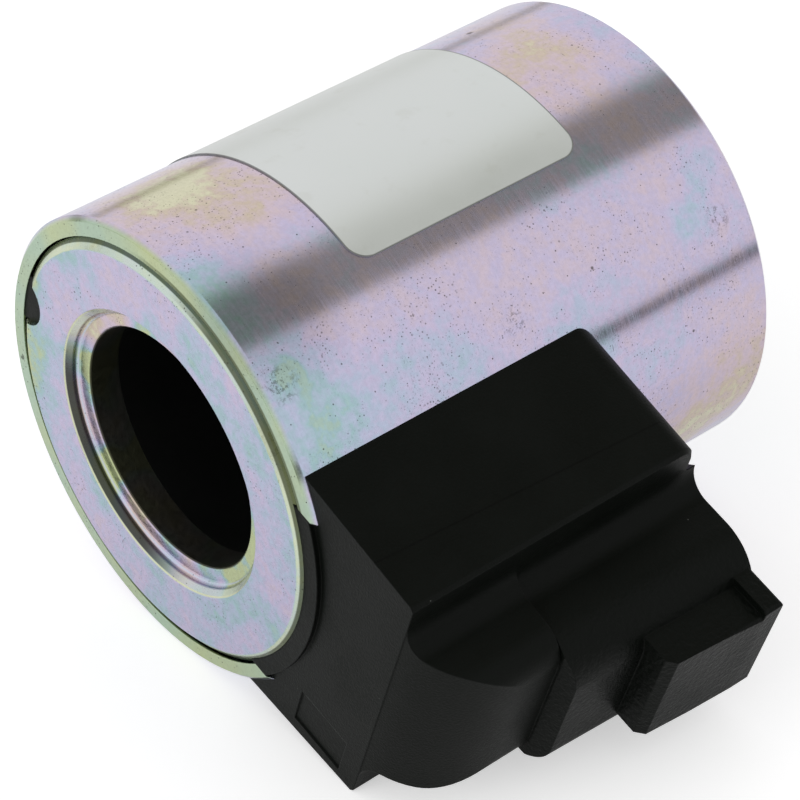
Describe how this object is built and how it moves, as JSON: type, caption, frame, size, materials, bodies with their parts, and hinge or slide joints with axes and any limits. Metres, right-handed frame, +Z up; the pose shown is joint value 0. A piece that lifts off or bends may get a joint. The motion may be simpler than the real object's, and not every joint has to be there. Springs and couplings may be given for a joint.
{
  "type": "solenoid valve coil",
  "caption": "Round solenoid coil in a plated steel yoke tube, with a through bore for a valve's tube and a moulded side connector with a latch.",
  "frame": {"origin": "in the bore, on its axis, halfway along the yoke tube", "axes": "-Y along the bore out of its front end, the end with the seal seat; +X towards the connector; +Z up as the coil rests on its tube and on the lower edge of its saddle block"},
  "size_m": [0.067, 0.0534, 0.0451],
  "materials": {
    "yoke_steel": "zinc plated with yellow chromate",
    "plate_steel": "zinc plated with yellow chromate, turned",
    "black_moulding": "fine spark-eroded grain",
    "bobbin_plastic": "satin",
    "copper_wire": "enamelled copper",
    "film_tape": "polyester film",
    "sleeve_plastic": "woven and varnished",
    "contact_metal": "nickel plated",
    "label_film": "satin silver film"
  },
  "bodies": {
    "root": {"yoke_tube": "yoke_steel", "front_flux_plate": "plate_steel", "rear_flux_plate": "plate_steel", "bobbin": "bobbin_plastic", "winding": "copper_wire", "winding_tape": "film_tape", "start_lead": "copper_wire", "finish_lead": "copper_wire", "start_lead_sleeve": "sleeve_plastic", "finish_lead_sleeve": "sleeve_plastic", "upper_pin": "contact_metal", "lower_pin": "contact_metal", "upper_terminal": "contact_metal", "lower_terminal": "contact_metal", "moulded_body": "black_moulding", "label": "label_film"}
  },
  "joints": []
}
